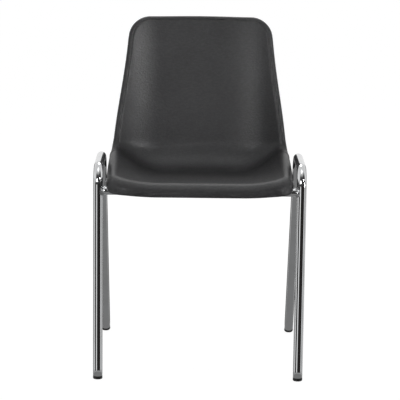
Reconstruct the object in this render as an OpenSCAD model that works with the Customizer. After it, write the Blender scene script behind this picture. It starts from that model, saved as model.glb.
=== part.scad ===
// Stacking choir chair: a moulded plastic shell that hangs between two bent tube side frames.
// Left and right are the sitter's: the chair faces -Y and its left side is +X.

/* [Side frames] */
// Outside diameter of the side frame tube
frame_tube_d = 22; // [20:0.5:25]
// Wall thickness of the side frame tube
frame_tube_wall = 1.5; // [1:0.1:2.5]
// Distance between the centre lines of the two side frames
frame_track = 465; // [462:1:500]
// How far the top of the side frames stands above the seat
frame_rise = 40; // [28:1:70]
// Length of the top bar between the lines of the two legs
frame_bar_l = 188; // [150:1:220]
// Distance between the front and the rear foot on the floor
frame_foot_l = 440; // [400:1:470]
// Centre line radius of the two bends
frame_bend_r = 40; // [35:1:50]

/* [Cross tubes] */
// Outside diameter of the cross tubes
cross_tube_d = 20; // [16:0.5:22]
// Wall thickness of the cross tubes
cross_tube_wall = 1.5; // [1:0.1:2.5]

/* [Seat shell] */
// Height of the back over the floor
chair_h = 799; // [780:1:830]
// Height of the seat at its front crest
seat_h = 467; // [460:1:475]
// Clearance between the sides of the seat and the side frames
seat_gap = 3; // [2:0.5:8]
// How much each side of the seat draws in towards its front
front_taper = 7; // [4:0.5:10]
// Width of the shell at its top
back_w = 349; // [320:1:380]
// How much fuller at the bowl and slimmer above it the sides run than a straight line
side_wave = 2.2; // [0:0.2:5]
// How far the front lip stands ahead of the front legs
seat_overhang = 42; // [38:1:50]
// Length of the level part of the seat behind the front crest
seat_run = 311; // [299:1:324]
// Fall of the seat to the rear, in degrees
seat_tilt = 6; // [4:0.5:8]
// Radius where the seat turns up into the back
bowl_r = 80; // [70:1:95]
// Lean of the back just above the seat, in degrees
back_recline = 9; // [7:0.5:12]
// How much further the top of the back leans, in degrees
back_flare = 8; // [4:0.5:10]
// Wall thickness of the shell
shell_t = 4; // [3.5:0.1:4.5]
// Rise of the seat's sides at the front
front_dish = 13; // [11:0.5:17]
// Rise of the sides at the bowl
bowl_dish = 48; // [38:1:52]
// Forward reach of the sides at the top of the back
top_dish = 20; // [15:1:27]
// Outline radius of the seat's front corners
front_corner_r = 57; // [50:1:64]
// Outline radius of the back's top corners
top_corner_r = 50; // [44:1:56]
// How much the top edge falls towards its corners
top_crown = 5; // [2:0.5:7]

/* [Shell rim] */
// Radius of the rolled front edge
front_roll_r = 28.5; // [24:0.5:31]
// Radius of the rolled edge along the sides of the seat
side_roll_r = 18; // [14:1:20]
// Radius of the rolled edge round the back
back_roll_r = 8; // [7:0.5:9]
// Width of the flat flange inside the roll round the back
back_flange_w = 6; // [5:0.5:8]
// Width of that flange round the seat
seat_flange_w = 2; // [1.5:0.5:4]
// Depth of the fine groove in the flange
groove_depth = 0.8; // [0.4:0.1:1.2]
// Length of the straight lip below the roll
lip_l = 3.5; // [2:0.5:5]

/* [Seat fixings] */
// Distance of the seat fixings from the middle of the chair
fixing_x = 84; // [76:1:88]
// Width of the saddles and the pads
saddle_w = 28; // [24:1:30]
// Thickness of the pads between the cross tubes and the shell
pad_t = 6.5; // [6:0.5:8]
// Thickness of the saddle strip
saddle_t = 2.5; // [2:0.1:3]
// Distance of the saddle screws from the cross tube's centre line
screw_offset = 18; // [17.8:0.1:19]
// Diameter of the bosses under the shell
boss_d = 13; // [12:0.5:14]
// Outside diameter of the brass inserts
insert_d = 7; // [6.5:0.1:8]
// Length of the brass inserts
insert_l = 6.5; // [6:0.1:7]
// Thread diameter of the screws
screw_d = 5; // [4:0.5:5]
// Length of the screws under the head
screw_l = 10; // [9:0.5:10]
// Diameter of the screw heads
screw_head_d = 8.5; // [8:0.1:9]
// Height of the screw heads
screw_head_h = 3.4; // [2.5:0.1:4]
// Width across the screws' hexagon socket
socket_w = 3; // [2.5:0.5:4]
// Outside diameter of the washers
washer_d = 9; // [8.5:0.1:9.5]
// Thickness of the washers
washer_t = 1; // [0.8:0.1:1.2]

/* [Feet] */
// Height of the black collar under each tube end
glide_collar_h = 7; // [5:0.5:9]
// Length of the plug inside the tube
glide_plug_l = 24; // [18:1:30]
// Bevel round the foot of the collar
glide_bevel = 1; // [0.5:0.1:1.5]
// Depth of the flat on the tilted rear glides
glide_flat = 1.3; // [1:0.1:1.6]
// Wall thickness of the hollow plug
glide_wall = 2.5; // [2:0.1:3]
// How far the plug's gripping rings stand out
glide_ring_h = 0.5; // [0.3:0.1:0.7]

/* [Hidden] */

// Clearance between pieces that fit into each other
fit_gap = 0.1;
// Overrun of every cut past the faces it opens
overrun = 1;
// How much the tube's radius shrinks in its bends, and how far straight and bend run into each other
bend_thinning = 0.15;
bend_lap = 0.3;

shell_colour = [0.22, 0.22, 0.23];
chrome_colour = [0.78, 0.79, 0.80];
glide_colour = [0.06, 0.06, 0.06];
zinc_colour = [0.62, 0.64, 0.66];
rubber_colour = [0.12, 0.12, 0.12];
brass_colour = [0.76, 0.62, 0.30];

left = 1;
right = -1;

// Side frame geometry, measured from the front legs
frame_h = seat_h + frame_rise;
frame_r = frame_tube_d / 2;
frame_bore_r = frame_r - frame_tube_wall;
frame_x = frame_track / 2;
bar_z = frame_h - frame_r;
rake = atan((frame_foot_l - frame_bar_l) / bar_z);
rear_turn = 90 - rake;
front_leg_top = bar_z - frame_bend_r;
rear_tangent = frame_bend_r * tan(rear_turn / 2);
rear_leg_l = bar_z / cos(rake);
rear_glide_rise = (frame_r * sin(rake) - glide_flat) / cos(rake);

// Centre line of the shell: straight seat, bowl arc and a back that leans away in a wide arc
seat_edge_y = (seat_flange_w + front_roll_r) * cos(seat_tilt)
    + (front_roll_r + lip_l) * sin(seat_tilt) - seat_overhang;
front_roll_y = seat_edge_y - seat_flange_w * cos(seat_tilt);
front_roll_z = seat_h - front_roll_r;
bowl_turn = seat_tilt + 90 - back_recline;
bowl_l = bowl_r * bowl_turn * PI / 180;
bowl_mid_s = seat_run + bowl_l / 2;
bowl_end_s = seat_run + bowl_l;
back_foot_angle = 90 - back_recline;
back_top_angle = back_foot_angle - back_flare;
seat_end = [seat_edge_y + seat_run * cos(seat_tilt), seat_h - seat_run * sin(seat_tilt)];
bowl_end = seat_end + bowl_r * (side_normal(-seat_tilt) - side_normal(back_foot_angle));
back_edge_z = chair_h - back_flange_w * sin(back_top_angle) - back_roll_r * (1 - cos(back_top_angle));
back_arc_r = (back_edge_z - bowl_end[1]) / (cos(back_top_angle) - cos(back_foot_angle));
back_l = back_arc_r * back_flare * PI / 180;
shell_l = bowl_end_s + back_l;

// Width of the seat, and the place along the bowl where the sides start to draw in to the back
seat_w = frame_track - frame_tube_d - 2 * seat_gap;
taper_share = 0.3;
taper_s = seat_run + taper_share * bowl_l;

// Cross tubes, each one pad's thickness under the shell
cross_r = cross_tube_d / 2;
under_seat = shell_t / cos(seat_tilt) + pad_t + cross_r;
front_tube_y = 0;
front_tube_z = seat_z(front_tube_y) - under_seat;
rear_tube_z = (seat_z(frame_bar_l + bar_z * tan(rake)) - under_seat) / (1 - tan(rake) * tan(seat_tilt));
rear_tube_y = frame_bar_l + (bar_z - rear_tube_z) * tan(rake);

// Saddles: the ears bear on the bosses just below the top of the cross tube
ear_top = cross_r - saddle_t;
ear_end = screw_offset + boss_d / 2;
pad_half = cross_r * sin(45);

// Shell mesh: places round the edge, and rings that grow outwards from a spine down the middle
front_edge_steps = 4;
corner_steps = 8;
seat_steps = 6;
bowl_steps = 11;
back_steps = 8;
top_edge_steps = 4;
roll_rings = 6;
seat_flat_share = 0.5;
back_flat_share = 0;
side_steepness = 4;
front_level = 0.55;
ring_shares = [0.2, 0.35, 0.5, 0.6, 0.7, 0.8, 0.88, 0.95];
flange_shares = [0, 0.35, 0.6, 0.85, 1];
groove_shares = [0, 0.2, 1, 0.2, 0];
probe = shell_t / 20;

function lerp(a, b, t) = a + (b - a) * t;
function ease(t) = let (c = min(1, max(0, t))) c * c * (3 - 2 * c);
function unit(v) = v / norm(v);
function side_normal(angle) = [-sin(angle), cos(angle)];

// Height of the seat's upper face in the middle of the chair, then with the front roll
function seat_z(y) = seat_h - (y - seat_edge_y) * tan(seat_tilt);
function upper_z(y) =
    y > front_roll_y ? seat_z(y)
    : front_roll_z + sqrt(pow(front_roll_r, 2) - pow(front_roll_y - y, 2));

// Direction of the centre line at a distance s behind the front crest, in degrees
function heading(s) =
    s < seat_run ? -seat_tilt
    : s < bowl_end_s ? (s - seat_run) / bowl_r * 180 / PI - seat_tilt
    : back_foot_angle - (s - bowl_end_s) / back_arc_r * 180 / PI;

// Point of the centre line at that distance, as [y, z]
function centre_line(s) =
    s < seat_run ? [seat_edge_y, seat_h] + s * [cos(seat_tilt), -sin(seat_tilt)]
    : s < bowl_end_s ? seat_end + bowl_r * (side_normal(-seat_tilt) - side_normal(heading(s)))
    : bowl_end + back_arc_r * (side_normal(heading(s)) - side_normal(back_foot_angle));

// How far round from seat to back: 0 on the seat, 1 on the back
function back_share(s) = ease((s - seat_run) / bowl_l);

function rise(s) =
    s < bowl_mid_s ? lerp(front_dish, bowl_dish, ease(s / bowl_mid_s))
    : lerp(bowl_dish, top_dish, ease((s - bowl_mid_s) / (shell_l - bowl_mid_s)));

function outer_half(s) =
    let (t = max(0, (s - taper_s) / (shell_l - taper_s)))
    lerp(seat_w, back_w, t) / 2 + side_wave * sin(360 * t) - front_taper * pow(max(0, 1 - s / seat_run), 3);

function flange_w(s) = lerp(seat_flange_w, back_flange_w, back_share(s));
function roll_r(s) = lerp(side_roll_r, back_roll_r, back_share(s));

// Share of the half width that is flat: the seat's middle for its pads, and none of the back's
function flat_share(s) = lerp(seat_flat_share, back_flat_share, back_share(s));

// Slope of the shell's side where it meets the rim
function side_slope(s) = atan(side_steepness * rise(s) / (outer_half(s) - roll_r(s)));

// Half width of the shell inside its rim, whose flange and roll lean out by what is left of that slope
function inner_half(s) =
    let (lean = (1 - back_share(s)) * side_slope(s))
    outer_half(s) - flange_w(s) * cos(lean) - roll_r(s) * (1 + sin(lean));

// How far the upper face rises over the centre line, x from the middle. The power keeps the sides as
// steep at the rim whatever share is flat.
function dish(x, s) =
    let (curved = 1 - flat_share(s))
    rise(s) * pow(max(0, 1 - (1 - abs(x) / inner_half(s)) / curved), side_steepness * curved);

// Point of the upper face, x from the middle and s along the centre line
function face_point(x, s) =
    let (c = centre_line(s), n = side_normal(heading(s)), h = dish(x, s))
    [x, c[0] + h * n[0], c[1] + h * n[1]];
function slope_x(x, s) = face_point(x + probe, s) - face_point(x - probe, s);
function slope_s(x, s) = face_point(x, s + probe) - face_point(x, s - probe);
function face_normal(x, s) = unit(cross(slope_x(x, s), slope_s(x, s)));

// Edge of the upper face inside the rim, as [x, s], from the front middle to the top middle
front_inner_r = front_corner_r - front_roll_r;
top_inner_r = top_corner_r - back_roll_r - back_flange_w;
side_end_s = shell_l - top_inner_r - top_crown;
front_start_x = inner_half(0) - front_inner_r;
top_start_x = inner_half(shell_l) - top_inner_r;
half_edge = concat(
    [for (i = [0:front_edge_steps - 1]) [front_start_x * i / front_edge_steps, 0]],
    [for (i = [0:corner_steps]) corner_point(front_inner_r * (1 - cos(90 * i / corner_steps)),
        front_inner_r * (1 - sin(90 * i / corner_steps)))],
    [for (i = [1:seat_steps]) side_point(lerp(front_inner_r, seat_run, i / seat_steps))],
    [for (i = [1:bowl_steps]) side_point(lerp(seat_run, bowl_end_s, i / bowl_steps))],
    [for (i = [1:back_steps - 1]) side_point(lerp(bowl_end_s, side_end_s, i / back_steps))],
    [for (i = [0:corner_steps])
        crowned(corner_point(shell_l - top_inner_r * (1 - sin(90 * i / corner_steps)),
            top_inner_r * (1 - cos(90 * i / corner_steps))))],
    [for (i = [top_edge_steps - 1:-1:0]) crowned([top_start_x * i / top_edge_steps, shell_l])]
);
function side_point(s) = [inner_half(s), s];
function corner_point(s, inset) = [inner_half(s) - inset, s];
function crowned(p) = [p[0], p[1] - top_crown * pow(p[0] / inner_half(p[1]), 2)];
last_half = len(half_edge) - 1;
edge = concat(half_edge, [for (i = [last_half - 1:-1:1]) [-half_edge[i][0], half_edge[i][1]]]);
edge_n = len(edge);
function spine_point(e) = [0, min(max(e[1], front_corner_r), shell_l - top_corner_r)];

// Rings of the upper face and of the underside, at a share of the way from the spine to the edge
function face_ring(share) =
    [for (e = edge) let (p = lerp(spine_point(e), e, share)) face_point(p[0], p[1])];
function under_ring(share) =
    [for (e = edge) let (p = lerp(spine_point(e), e, share))
        face_point(p[0], p[1]) - shell_t * face_normal(p[0], p[1])];

// Frame of the rim at one edge place: [point, outward, normal, fold, turn, flange, roll, back share, lip].
// At the front the lip grows with the dish, so that the lower edge runs more level than the seat.
function rim_frame(i) =
    let (
        p = edge[i],
        ahead = edge[(i + 1) % edge_n],
        behind = edge[(i + edge_n - 1) % edge_n],
        run = unit(ahead - behind),
        out = [run[1], -run[0]],
        n = face_normal(p[0], p[1]),
        o = unit(slope_x(p[0], p[1]) * out[0] + slope_s(p[0], p[1]) * out[1]),
        flat_n = side_normal(heading(p[1])),
        slope = max(0, asin(o[1] * flat_n[0] + o[2] * flat_n[1])),
        share = back_share(p[1]),
        fold = share * slope,
        front = ease(-out[1]) * (1 - share),
        roll = lerp(roll_r(p[1]), front_roll_r, front),
        lip = lip_l + front_level * front * dish(p[0], p[1])
    )
    [face_point(p[0], p[1]), o, n, fold, 90 + slope - fold, flange_w(p[1]), roll, share, lip];
rim_frames = [for (i = [0:edge_n - 1]) rim_frame(i)];

// One point of the rim: along and depth in the rim's frame, pushed back by depth along its own normal
function rim_point(f, along, up, turn, depth) =
    f[0] + (along - depth * sin(turn)) * f[1] + (up - depth * cos(turn)) * f[2];

// Station k of the flange, on the upper face (depth 0) or under it (depth shell_t)
function flange_point(f, k, depth) =
    let (
        l = f[5] * flange_shares[k],
        turn = k == 0 ? f[3] / 2 : f[3],
        cut = depth == 0 ? groove_depth * f[7] * groove_shares[k] : depth / (k == 0 ? cos(turn) : 1)
    )
    rim_point(f, l * cos(f[3]), -l * sin(f[3]), turn, cut);

// Station k of the roll, then the lip at its end
function roll_point(f, k, depth) =
    let (
        turn = f[3] + f[4] * k / roll_rings,
        along = f[5] * cos(f[3]) + f[6] * (sin(turn) - sin(f[3])),
        up = -f[5] * sin(f[3]) - f[6] * (cos(f[3]) - cos(turn))
    )
    rim_point(f, along, up, turn, depth);
function lip_point(f, depth) =
    let (turn = f[3] + f[4])
    roll_point(f, roll_rings, depth) + f[8] * (cos(turn) * f[1] - sin(turn) * f[2]);

function rim_rings(depth) = concat(
    [for (k = [0:len(flange_shares) - 1]) [for (f = rim_frames) flange_point(f, k, depth)]],
    [for (k = [1:roll_rings]) [for (f = rim_frames) roll_point(f, k, depth)]],
    [[for (f = rim_frames) lip_point(f, depth)]]
);
outer_rings = concat([for (share = ring_shares) face_ring(share)], rim_rings(0));
under_rings = concat([for (share = ring_shares) under_ring(share)], rim_rings(shell_t));
function reversed(list) = [for (i = [len(list) - 1:-1:0]) list[i]];

// The origin lies on the floor under the middle of the chair's length
shell_rear_y = max([for (ring = outer_rings) for (p = ring) p[1]]);
middle_y = (shell_rear_y - seat_overhang) / 2;

// The shell as one closed skin, from the upper face round the rim to the underside
module shell_skin() {
    rings = concat(outer_rings, reversed(under_rings));
    last = (len(rings) - 1) * edge_n;
    faces = concat(
        middle_faces(0, 1),
        [for (j = [0:len(rings) - 2]) for (i = [0:edge_n - 1]) let (k = (i + 1) % edge_n)
            each [[j * edge_n + i, j * edge_n + k, (j + 1) * edge_n + k],
                [j * edge_n + i, (j + 1) * edge_n + k, (j + 1) * edge_n + i]]],
        middle_faces(last, -1)
    );
    polyhedron([for (ring = rings) each ring], faces);
}

// Faces across the middle of the innermost ring: a fan to the front row, strips from side to side and
// a fan to the top row. start is the ring's first point, way is 1 above and -1 under the shell.
function middle_faces(start, way) =
    let (
        first = front_edge_steps + 1,
        last = last_half - top_edge_steps - 1,
        faces = concat(
            [for (i = [0:first - 2]) each [[i, first, i + 1], [-i, -i - 1, -first]]],
            [[0, -first, first]],
            [for (i = [first:last - 1]) each [[i, -i, -i - 1], [i, -i - 1, i + 1]]],
            [for (i = [last + 1:last_half - 1]) each [[i + 1, i, last], [-i, -i - 1, -last]]],
            [[last_half, last, -last]]
        )
    )
    [for (f = faces) let (corners = [for (i = f) start + (i + edge_n) % edge_n])
        way > 0 ? corners : reversed(corners)];

// Places a piece that is drawn from the front legs in the chair's own frame
module placed() {
    translate([0, -middle_y, 0]) children();
}

// Repeats a piece at the two screws of all four seat fixings
module at_screws() {
    for (side = [left, right])
        for (tube = [[front_tube_y, front_tube_z], [rear_tube_y, rear_tube_z]])
            for (way = [-1, 1])
                translate([side * fixing_x, tube[0] + way * screw_offset, tube[1]]) children();
}

module seat_shell() {
    color(shell_colour)
    placed()
    difference() {
        union() {
            shell_skin();
            for (side = [left, right])
                for (tube = [[front_tube_y, front_tube_z], [rear_tube_y, rear_tube_z]])
                    for (way = [-1, 1])
                        boss(side, tube[0] + way * screw_offset, tube[1] + ear_top);
        }
        at_screws()
            translate([0, 0, ear_top - overrun])
                cylinder(d = insert_d, h = insert_l + fit_gap + overrun, $fn = 48);
    }
}

// A round boss from the saddle's ear up into the shell's wall, and the height where it ends there
function boss_top(y) = min(upper_z(y - boss_d / 2), upper_z(y + boss_d / 2)) - shell_t / 8;
module boss(side, y, foot_z) {
    translate([side * fixing_x, y, foot_z])
        cylinder(d = boss_d, h = boss_top(y) - foot_z, $fn = 48);
}

// The tube's path with a given radius, from the front foot over the bar to the rear foot
module frame_path(r, front_start, rear_end) {
    translate([0, 0, front_start])
        cylinder(r = r, h = front_leg_top - front_start + bend_lap, $fn = 64);
    frame_bend(r, frame_bend_r, 90, 90);
    translate([0, frame_bend_r - bend_lap, bar_z])
        rotate([-90, 0, 0])
            cylinder(r = r, h = frame_bar_l - frame_bend_r - rear_tangent + 2 * bend_lap, $fn = 64);
    frame_bend(r, frame_bar_l - rear_tangent, rake, rear_turn);
    translate([0, frame_bar_l, bar_z])
        rotate([rake - 180, 0, 0])
            translate([0, 0, rear_tangent - bend_lap])
                cylinder(r = r, h = rear_leg_l - rear_end - rear_tangent + bend_lap, $fn = 64);
}

// One bend in the frame's plane; bending draws the tube a trace thinner
module frame_bend(r, y, start, turn) {
    translate([0, y, front_leg_top])
        rotate([90, 0, 90]) rotate([0, 0, start])
            rotate_extrude(angle = turn, $fn = 96)
                translate([frame_bend_r, 0]) circle(r = r - bend_thinning, $fn = 64);
}

module side_frame(side) {
    color(chrome_colour)
    placed()
    translate([side * frame_x, 0, 0])
    difference() {
        frame_path(frame_r, glide_collar_h, rear_glide_rise + glide_collar_h);
        frame_path(frame_bore_r, glide_collar_h - overrun, rear_glide_rise + glide_collar_h - overrun);
    }
}

// A straight tube between the legs, its ends hollowed to their round
module cross_tube(y, z) {
    color(chrome_colour)
    placed()
    difference() {
        translate([-frame_x, y, z])
            rotate([0, 90, 0])
                difference() {
                    cylinder(d = cross_tube_d, h = frame_track, $fn = 64);
                    translate([0, 0, -overrun])
                        cylinder(d = cross_tube_d - 2 * cross_tube_wall, h = frame_track + 2 * overrun, $fn = 64);
                }
        for (side = [left, right])
            translate([side * frame_x, 0, 0])
                frame_path(frame_r, 0, 0);
    }
}

// A ribbed hollow plug with a collar, standing on its collar
module glide() {
    plug_r = frame_bore_r - fit_gap - glide_ring_h;
    ring_l = glide_plug_l / 8;
    difference() {
        union() {
            cylinder(r1 = frame_r - glide_bevel, r2 = frame_r, h = glide_bevel, $fn = 64);
            translate([0, 0, glide_bevel])
                cylinder(r = frame_r, h = glide_collar_h - glide_bevel, $fn = 64);
            translate([0, 0, glide_collar_h])
                cylinder(r = plug_r, h = glide_plug_l, $fn = 64);
            for (i = [1, 3, 5])
                translate([0, 0, glide_collar_h + i * ring_l])
                    cylinder(r = plug_r + glide_ring_h, h = ring_l, $fn = 64);
        }
        translate([0, 0, glide_collar_h])
            cylinder(r = plug_r - glide_wall, h = glide_plug_l + overrun, $fn = 64);
    }
}

module front_glide(side) {
    color(glide_colour)
    placed()
    translate([side * frame_x, 0, 0]) glide();
}

// The rear glide tilts with its leg, and the floor trims it to a small flat
module rear_glide(side) {
    color(glide_colour)
    placed()
    translate([side * frame_x, frame_foot_l, 0])
    difference() {
        rotate([rake, 0, 0]) translate([0, 0, rear_glide_rise]) glide();
        translate([-frame_tube_d, -frame_tube_d, -frame_tube_d])
            cube([2 * frame_tube_d, 2 * frame_tube_d, frame_tube_d]);
    }
}

// A strip bent round the underside of a cross tube, with a screwed ear on each side
module saddle(side, y, z) {
    outer_r = cross_r + saddle_t;
    color(zinc_colour)
    placed()
    translate([side * fixing_x, y, z])
    difference() {
        rotate([90, 0, 90])
            translate([0, 0, -saddle_w / 2])
                linear_extrude(saddle_w)
                    difference() {
                        union() {
                            circle(r = outer_r, $fn = 64);
                            translate([-outer_r, 0]) square([2 * outer_r, ear_top]);
                            translate([-ear_end, ear_top - saddle_t]) square([2 * ear_end, saddle_t]);
                        }
                        circle(r = cross_r, $fn = 64);
                        translate([-cross_r, 0]) square([2 * cross_r, outer_r + overrun]);
                        translate([-outer_r - overrun, ear_top])
                            square([2 * (outer_r + overrun), outer_r]);
                    }
        for (way = [-1, 1])
            translate([0, way * screw_offset, ear_top - saddle_t - overrun])
                cylinder(d = screw_d + 2 * fit_gap, h = saddle_t + 2 * overrun, $fn = 48);
    }
}

// A rubber pad, hollowed to the cross tube below and cut to the seat's slope above
module pad(side, y, z) {
    top_z = seat_z(y) - shell_t / cos(seat_tilt) - z;
    fall = pad_half * tan(seat_tilt);
    color(rubber_colour)
    placed()
    translate([side * fixing_x, y, z])
        rotate([90, 0, 90])
            translate([0, 0, -saddle_w / 2])
                linear_extrude(saddle_w)
                    difference() {
                        polygon([[-pad_half, 0], [pad_half, 0], [pad_half, top_z - fall], [-pad_half, top_z + fall]]);
                        circle(r = cross_r, $fn = 64);
                    }
}

module seat_inserts() {
    color(brass_colour)
    placed()
    at_screws()
        translate([0, 0, ear_top])
            difference() {
                cylinder(d = insert_d - 2 * fit_gap, h = insert_l, $fn = 48);
                translate([0, 0, -overrun])
                    cylinder(d = screw_d + 2 * fit_gap, h = insert_l + 2 * overrun, $fn = 48);
            }
}

module seat_washers() {
    color(zinc_colour)
    placed()
    at_screws()
        translate([0, 0, ear_top - saddle_t - washer_t])
            difference() {
                cylinder(d = washer_d, h = washer_t, $fn = 48);
                translate([0, 0, -overrun])
                    cylinder(d = screw_d + 2 * fit_gap, h = washer_t + 2 * overrun, $fn = 48);
            }
}

module seat_screws() {
    color(zinc_colour)
    placed()
    at_screws()
        translate([0, 0, ear_top - saddle_t - washer_t])
            difference() {
                union() {
                    cylinder(d = screw_d, h = screw_l, $fn = 48);
                    translate([0, 0, -screw_head_h])
                        cylinder(d = screw_head_d, h = screw_head_h, $fn = 48);
                }
                translate([0, 0, -screw_head_h - overrun])
                    cylinder(d = socket_w / cos(30), h = screw_head_h / 2 + overrun, $fn = 6);
            }
}

seat_shell();
side_frame(left);  // left_side_frame
side_frame(right);  // right_side_frame
cross_tube(front_tube_y, front_tube_z);  // front_cross_tube
cross_tube(rear_tube_y, rear_tube_z);  // rear_cross_tube
front_glide(left);  // front_left_glide
front_glide(right);  // front_right_glide
rear_glide(left);  // rear_left_glide
rear_glide(right);  // rear_right_glide
saddle(left, front_tube_y, front_tube_z);  // front_left_saddle
saddle(right, front_tube_y, front_tube_z);  // front_right_saddle
saddle(left, rear_tube_y, rear_tube_z);  // rear_left_saddle
saddle(right, rear_tube_y, rear_tube_z);  // rear_right_saddle
pad(left, front_tube_y, front_tube_z);  // front_left_pad
pad(right, front_tube_y, front_tube_z);  // front_right_pad
pad(left, rear_tube_y, rear_tube_z);  // rear_left_pad
pad(right, rear_tube_y, rear_tube_z);  // rear_right_pad
seat_inserts();
seat_washers();
seat_screws();
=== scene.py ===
import math
import bpy
import numpy as np
from mathutils import Matrix, Vector


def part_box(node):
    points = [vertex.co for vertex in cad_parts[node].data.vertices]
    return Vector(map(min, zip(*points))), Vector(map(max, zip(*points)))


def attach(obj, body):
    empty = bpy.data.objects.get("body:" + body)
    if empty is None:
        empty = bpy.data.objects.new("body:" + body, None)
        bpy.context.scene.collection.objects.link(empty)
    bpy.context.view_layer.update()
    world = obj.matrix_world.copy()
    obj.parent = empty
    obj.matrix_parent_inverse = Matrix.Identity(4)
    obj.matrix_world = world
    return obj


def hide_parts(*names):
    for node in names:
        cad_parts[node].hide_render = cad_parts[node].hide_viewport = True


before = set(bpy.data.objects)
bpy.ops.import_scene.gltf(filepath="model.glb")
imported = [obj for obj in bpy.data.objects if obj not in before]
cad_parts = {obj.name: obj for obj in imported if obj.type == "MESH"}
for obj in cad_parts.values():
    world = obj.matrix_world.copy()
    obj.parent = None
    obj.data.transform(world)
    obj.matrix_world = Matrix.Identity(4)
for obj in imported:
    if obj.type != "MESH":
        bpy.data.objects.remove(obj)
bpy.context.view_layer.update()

mm = 0.001
left, right = 1, -1
sideNames = {left: "left", right: "right"}


# shared helpers

def lerp(a, b, t):
    return a + (b - a) * t


def ease(t):
    t = np.clip(t, 0, 1)
    return t * t * (3 - 2 * t)


def sind(angle):
    return np.sin(np.radians(angle))


def cosd(angle):
    return np.cos(np.radians(angle))


def unit(v):
    return v / np.linalg.norm(v, axis=-1, keepdims=True)


def circle(count):
    # angles of evenly spaced points, in radians
    return np.arange(count) * 2 * np.pi / count


def ringFaces(rows, count, closeRows=False):
    # quads between closed rings of count points each
    faces = []
    for j in range(rows if closeRows else rows - 1):
        a, b = j * count, (j + 1) % rows * count
        for i in range(count):
            k = (i + 1) % count
            faces.append((a + i, a + k, b + k, b + i))
    return faces


def makePiece(name, points, faces, finish, replaced=()):
    mesh = bpy.data.meshes.new(name)
    mesh.from_pydata([tuple(p) for p in np.asarray(points) * mm], [], faces)
    mesh.validate()
    mesh.update()
    mesh.materials.append(finish)
    for polygon in mesh.polygons:
        polygon.use_smooth = True
    piece = bpy.data.objects.new(name, mesh)
    bpy.context.scene.collection.objects.link(piece)
    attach(piece, "root")
    if replaced:
        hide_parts(*replaced)


def addMesh(parts, points, faces):
    # one more closed mesh in the same piece
    start = sum(len(p) for p, _ in parts)
    parts.append((np.asarray(points, float), [tuple(i + start for i in face) for face in faces]))


def joined(parts):
    return np.concatenate([p for p, _ in parts]), [face for _, faces in parts for face in faces]


# shader helpers

class Value:
    # wraps a socket, so that an expression on it adds its Math nodes
    def __init__(self, finish, socket):
        self.finish = finish
        self.socket = socket

    def math(self, operation, a, b):
        return self.finish.add("ShaderNodeMath", {"operation": operation}, {0: a, 1: b})

    def __add__(self, other):
        return self.math("ADD", self, other)

    def __radd__(self, other):
        return self.math("ADD", other, self)

    def __sub__(self, other):
        return self.math("SUBTRACT", self, other)

    def __rsub__(self, other):
        return self.math("SUBTRACT", other, self)

    def __mul__(self, other):
        return self.math("MULTIPLY", self, other)

    def __rmul__(self, other):
        return self.math("MULTIPLY", other, self)

    def __truediv__(self, other):
        return self.math("DIVIDE", self, other)

    def __rtruediv__(self, other):
        return self.math("DIVIDE", other, self)

    def __pow__(self, other):
        return self.math("POWER", self, other)

    def __rpow__(self, other):
        return self.math("POWER", other, self)


class Finish:
    # a node tree that grows one add() at a time
    def __init__(self, owner):
        self.owner = owner
        owner.use_nodes = True
        self.tree = owner.node_tree
        self.tree.nodes.clear()

    def add(self, kind, settings=None, sockets=None, out=0):
        node = self.tree.nodes.new(kind)
        for key, setting in (settings or {}).items():
            if key == "stops":
                self.setStops(node.color_ramp, setting)
            else:
                setattr(node, key, setting)
        for key, value in (sockets or {}).items():
            if isinstance(value, Value):
                self.tree.links.new(value.socket, node.inputs[key])
            else:
                node.inputs[key].default_value = value
        return Value(self, node.outputs[out]) if node.outputs else node

    def setStops(self, ramp, stops):
        # grey levels by their place on the ramp
        while len(ramp.elements) > 1:
            ramp.elements.remove(ramp.elements[-1])
        for i, (place, level) in enumerate(stops):
            stop = ramp.elements[0] if i == 0 else ramp.elements.new(place)
            stop.position = place
            stop.color = (level, level, level, 1)

    def objectPlace(self, stretch=(1, 1, 1)):
        # the surface point in the chair's own frame, in metres
        place = self.add("ShaderNodeTexCoord", out=3)
        return self.add("ShaderNodeMapping", {}, {"Vector": place, "Scale": stretch})

    def noise(self, place, scale, detail, roughness):
        return self.add("ShaderNodeTexNoise", {}, {
            "Vector": place, "Scale": scale, "Detail": detail, "Roughness": roughness})

    def blend(self, factor, a, b):
        # colours a to b, by a value
        a, b = [c if isinstance(c, Value) else (*c, 1) for c in (a, b)]
        return self.add("ShaderNodeMix", {"data_type": "RGBA"}, {0: factor, 6: a, 7: b}, out=2)

    def range(self, value, low, high):
        # 0 below low, 1 above high, with a soft step between
        return self.add("ShaderNodeMapRange", {"interpolation_type": "SMOOTHSTEP"}, {
            0: value, 1: low, 2: high})

    def bump(self, height, depth, strength):
        return self.add("ShaderNodeBump", {}, {
            "Height": height, "Distance": depth * mm, "Strength": strength})

    def parts(self, vector):
        # x, y and z of a vector
        node = self.add("ShaderNodeSeparateXYZ", {}, {0: vector}).socket.node
        return [Value(self, output) for output in node.outputs]

    def surface(self, sockets):
        shader = self.add("ShaderNodeBsdfPrincipled", {}, sockets)
        self.add("ShaderNodeOutputMaterial", {}, {"Surface": shader})
        return self.owner


def newFinish(name):
    return Finish(bpy.data.materials.new(name))


# finishes: sizes and depths are in mm, scales in waves per metre, a noise is (scale, detail, roughness),
# and the part of a pattern that counts is (from, to)

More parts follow.
